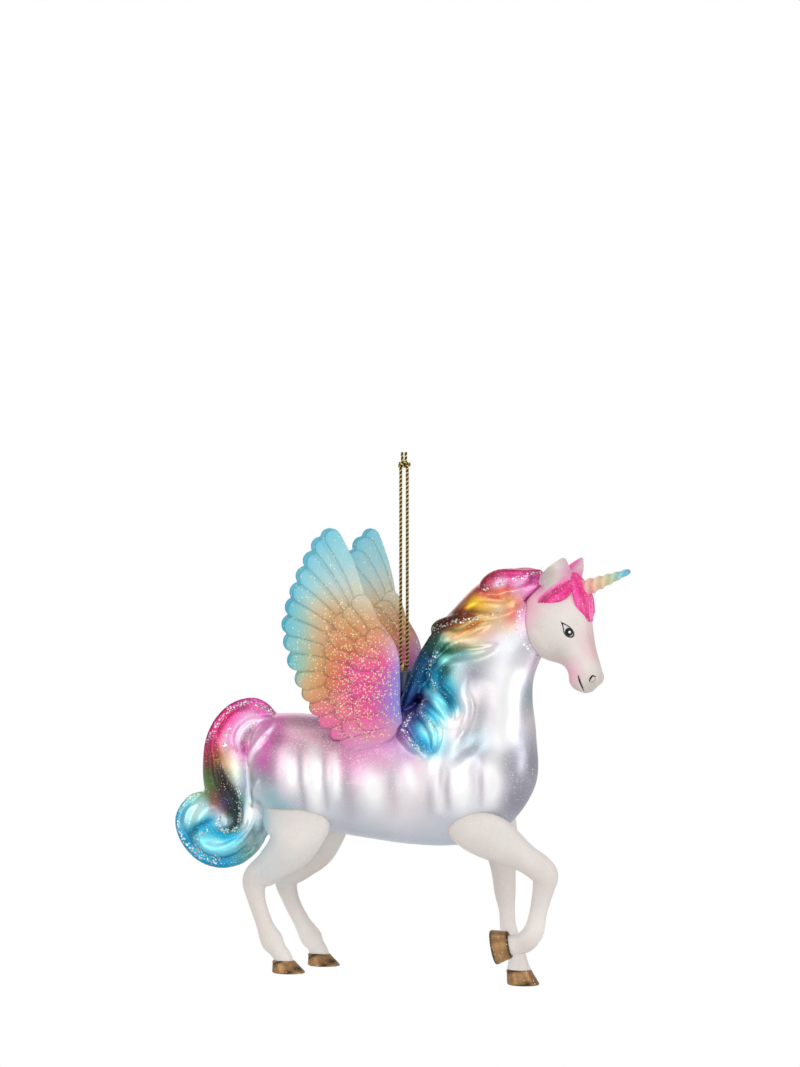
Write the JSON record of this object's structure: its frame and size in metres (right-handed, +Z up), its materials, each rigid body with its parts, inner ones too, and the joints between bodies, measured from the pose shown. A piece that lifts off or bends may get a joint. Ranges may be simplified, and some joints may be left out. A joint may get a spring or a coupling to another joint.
{
  "type": "unicorn_ornament",
  "caption": "Winged unicorn hanging ornament in painted blown glass with resin head, horn, legs and feathered wings, on a metal cap with a gold cord loop.",
  "frame": {"origin": "where a hook carries the cord loop, under its knot", "axes": "X forward along the animal, Y to its left, Z up"},
  "size_m": [0.1246, 0.0472, 0.1442],
  "materials": {
    "silvered_glass": "silvered inside, satin pearl lacquer with fine glitter",
    "pearl_resin": "pearl paint on cast resin",
    "horn_resin": "faded paint, pink to blue",
    "wing_resin": "faded paint, pink to turquoise, with glitter at the root",
    "cap_metal": "pressed bright metal",
    "wire_metal": "bright wire",
    "gold_cord": "twisted metallic gold yarn"
  },
  "bodies": {
    "cord": {"cord_loop": "gold_cord", "cord_knot": "gold_cord"},
    "hanger": {"crown_cap": "cap_metal", "hanger_wire": "wire_metal"},
    "figure": {"glass_body": "silvered_glass", "head": "pearl_resin", "horn": "horn_resin", "right_fore_leg": "pearl_resin", "left_fore_leg": "pearl_resin", "right_hind_leg": "pearl_resin", "left_hind_leg": "pearl_resin", "right_wing": "wing_resin", "left_wing": "wing_resin"}
  },
  "joints": [
    {"name": "cord_swing", "type": "hinge", "parent": "cord", "child": "hanger", "pos_m": [0, 0, -0.053], "axis": [0, 1, 0], "range_deg": [-30, 30]},
    {"name": "cap_turn", "type": "hinge", "parent": "hanger", "child": "figure", "pos_m": [0, 0, -0.06], "axis": [0, 0, 1], "continuous": true}
  ]
}
